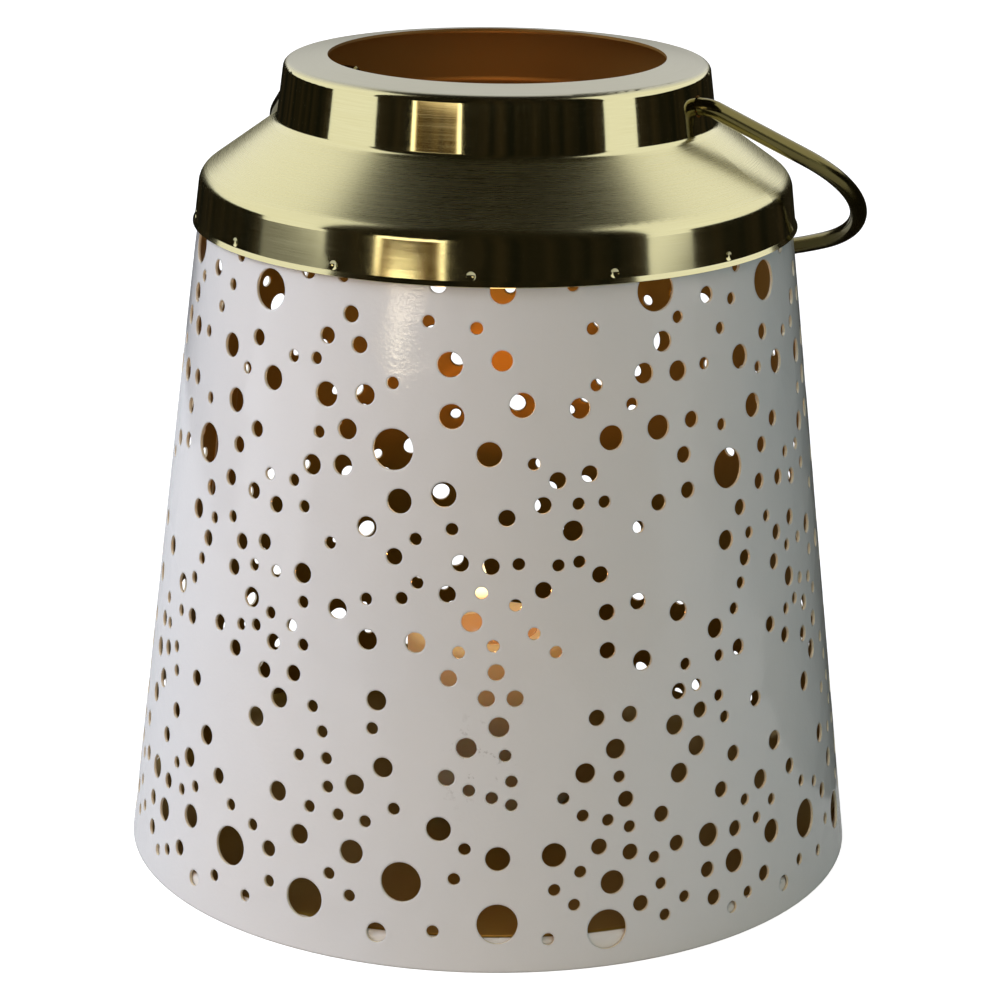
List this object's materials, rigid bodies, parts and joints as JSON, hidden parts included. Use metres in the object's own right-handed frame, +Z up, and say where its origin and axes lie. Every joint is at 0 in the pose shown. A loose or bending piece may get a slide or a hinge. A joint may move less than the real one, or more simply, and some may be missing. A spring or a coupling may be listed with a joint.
{
  "type": "candle lantern",
  "caption": "Punched sheet-metal candle lantern: tapered white shade with scattered round holes, brass-coloured collar with open mouth, swinging wire bail and lift-out candle.",
  "frame": {"origin": "centre of the shade's bottom edge, on the surface that the lantern stands on", "axes": "+Z up along the lantern's axis, +X along the bail's pivot axis, +Y towards the side that the bail lies on at rest"},
  "size_m": [0.165, 0.165, 0.179],
  "materials": {
    "white_enamel": "semi-gloss warm white outside, gold lacquer inside",
    "gold_lacquer": "satin gold lacquer",
    "polished_brass": "polished, with fine turning marks",
    "wax": "smooth cream wax",
    "wick_cotton": "charred cotton",
    "tinplate": "bright tinplate"
  },
  "bodies": {
    "lantern": {"shade": "white_enamel", "base_pan": "gold_lacquer", "collar": "polished_brass"},
    "bail": {"bail": "polished_brass"},
    "candle": {"candle_wax": "wax", "candle_wick": "wick_cotton", "wick_tab": "tinplate"}
  },
  "joints": [
    {"name": "bail_swing", "type": "hinge", "parent": "lantern", "child": "bail", "pos_m": [0, 0, 0.1717], "axis": [1, 0, 0], "range_deg": [0, 250]},
    {"name": "candle_lift", "type": "slide", "parent": "lantern", "child": "candle", "axis": [0, 0, 1], "range_m": [0, 0.18]}
  ]
}
